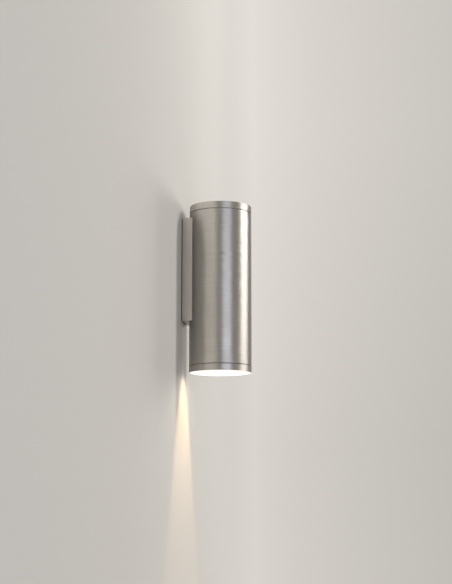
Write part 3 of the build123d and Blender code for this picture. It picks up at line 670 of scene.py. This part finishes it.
# %% Plated metal
finishes["nickel_brass"] = plated("nickel_plated_brass", "#c9c0a8", "#ddd6c4", 0.28, 1.5)
finishes["zinc_steel"] = plated("zinc_plated_steel", "#b4bac2", "#d0d4d8", 0.36, 5.0)
finishes["spring_steel"] = plated("drawn_spring_steel", "#77797c", "#94969a", 0.33, 1.0, (0.2, 0.2, 1))
finishes["stainless_screw"] = plated("stainless_screw_steel", "#c2c1bd", "#d6d5d2", 0.30, 0.8)
print("plated:", ["nickel_brass", "zinc_steel", "spring_steel", "stainless_screw"])

# %% [markdown]
# The three wires follow the usual colours for mains: brown for live, blue for neutral, and green with a
# yellow stripe for earth. The stripe lies on two opposite sides of the wire, found from its surface
# direction.

# %% Wire insulation
stripe_edge = 0.72

finishes["brown_wire"] = moulded("brown_pvc_insulation", "#5b3522", 0.42, 0.5, 0.01)
finishes["blue_wire"] = moulded("blue_pvc_insulation", "#2b62a8", 0.42, 0.5, 0.01)
finishes["green_wire"] = moulded("green_yellow_pvc_insulation", "#2c8a3c", 0.42, 0.5, 0.01)

tree = finishes["green_wire"].node_tree
facing = add(tree, "ShaderNodeSeparateXYZ", {0: add(tree, "ShaderNodeTexCoord").outputs["Normal"]})
sideways = add(tree, "ShaderNodeMath", {0: facing.outputs["X"]}, operation="ABSOLUTE")
on_stripe = add(tree, "ShaderNodeMath", {0: sideways.outputs[0], 1: stripe_edge}, operation="GREATER_THAN")
stripe = add(tree, "ShaderNodeMix", {
    "Factor": on_stripe.outputs[0], 6: colour("#2c8a3c"), 7: colour("#ecd23c")}, data_type="RGBA")
shader = next(node for node in tree.nodes if node.type == "BSDF_PRINCIPLED")
tree.links.new(stripe.outputs[2], shader.inputs["Base Color"])
print("wires:", [name for name in nodes if name.endswith("_wire")])

# %% [markdown]
# Every solid already carries a plain material, named for what it is made of. Each one is now swapped for
# the finish of the same name. The two groove seals take the paler rubber, and the lower ring its rim of
# painted light.

# %% Dress the nodes
for name, node in nodes.items():
    for slot in node.material_slots:
        slot.material = finishes[slot.material.name]
for name in ("bezel_seal", "cap_seal"):
    nodes[name].material_slots[0].material = groove_rubber
nodes["bezel_ring"].material_slots[0].material = ring_with_painted_rim_light
print("dressed", len(nodes), "nodes with", len(finishes) + 2, "finishes")

# %% [markdown]
# Each ring screws onto a collar in the tube's end. The collar's thread is a fine ridge that climbs around it,
# 1.5 mm for each turn, and it shows when a ring is unscrewed. Geometry Nodes draws it: a spiral curve with a
# small three-sided section swept along it. The ridge stands out 0.14 mm, inside the clearance that the ring
# leaves, and its foot is sunk into the collar. A three-sided section is 1.5 times as high as its radius.

# %% Threads on the collars
thread_pitch = 1.5 * MM
thread_height = 0.14 * MM
thread_foot = 0.45 * MM
thread_run_out = 0.5 * MM
points_per_turn = 64
section_sides = 3
section_height_per_radius = 1.5


def spiral_thread(name, node_name, low_z, high_z):
    """A thread ridge round a collar between two heights, as a plain mesh that rides with the fixture."""
    collar_low, collar_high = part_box(node_name)
    collar_radius = (collar_high.x - collar_low.x) / 2
    section_radius = (thread_height + thread_foot) / section_height_per_radius
    tree = bpy.data.node_groups.new(name, "GeometryNodeTree")
    tree.interface.new_socket("Geometry", in_out="OUTPUT", socket_type="NodeSocketGeometry")
    sizes = {
        "Turns": (high_z - low_z) / thread_pitch,
        "Radius": collar_radius - thread_foot + section_radius / 2,
        "Height": high_z - low_z,
        "Section": section_radius,
    }
    sockets = {
        label: tree.interface.new_socket(label, in_out="INPUT", socket_type="NodeSocketFloat").identifier
        for label in sizes
    }
    given = add(tree, "NodeGroupInput").outputs
    spiral = add(tree, "GeometryNodeCurveSpiral", {
        "Resolution": points_per_turn, "Rotations": given["Turns"], "Start Radius": given["Radius"],
        "End Radius": given["Radius"], "Height": given["Height"]})
    section = add(tree, "GeometryNodeCurvePrimitiveCircle", {
        "Resolution": section_sides, "Radius": given["Section"]})
    ridge = add(tree, "GeometryNodeCurveToMesh", {
        "Curve": spiral.outputs[0], "Profile Curve": section.outputs[0], "Fill Caps": True})
    placed = add(tree, "GeometryNodeTransform", {
        "Geometry": ridge.outputs[0], "Translation": (0, tube_axis.y, low_z)})
    realized = add(tree, "GeometryNodeRealizeInstances", {"Geometry": placed.outputs[0]})
    dressed = add(tree, "GeometryNodeSetMaterial", {
        "Geometry": realized.outputs[0], "Material": finishes["turned_aluminium"]})
    tree.links.new(dressed.outputs[0], add(tree, "NodeGroupOutput").inputs[0])

    piece = bpy.data.objects.new(name, bpy.data.meshes.new(name))
    bpy.context.scene.collection.objects.link(piece)
    modifier = piece.modifiers.new(name, "NODES")
    modifier.node_group = tree
    for label, value in sizes.items():
        modifier[sockets[label]] = value
    bpy.context.view_layer.update()
    solid = bpy.data.meshes.new_from_object(piece.evaluated_get(bpy.context.evaluated_depsgraph_get()))
    piece.modifiers.remove(modifier)
    piece.data = solid
    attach(piece, "fixture")
    return piece


seal_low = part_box("bezel_seal")[0]
collar_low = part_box("bezel_collar")[0]
lower_thread = spiral_thread(
    "bezel_collar_thread", "bezel_collar", collar_low.z + thread_run_out, seal_low.z - thread_run_out)
seal_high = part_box("cap_seal")[1]
collar_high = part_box("cap_collar")[1]
upper_thread = spiral_thread(
    "cap_collar_thread", "cap_collar", seal_high.z + thread_run_out, collar_high.z - thread_run_out)
for thread in (lower_thread, upper_thread):
    reach = max(math.hypot(v.co.x, v.co.y - tube_axis.y) for v in thread.data.vertices)
    measured = bmesh.new()
    measured.from_mesh(thread.data)
    volume = measured.calc_volume(signed=True) / MM ** 3
    measured.free()
    print(thread.name, len(thread.data.polygons), "faces, reaches", round(reach / MM, 2), "mm from the axis")
    print("its volume", round(volume, 1), "mm3 is above zero when its faces point outward")
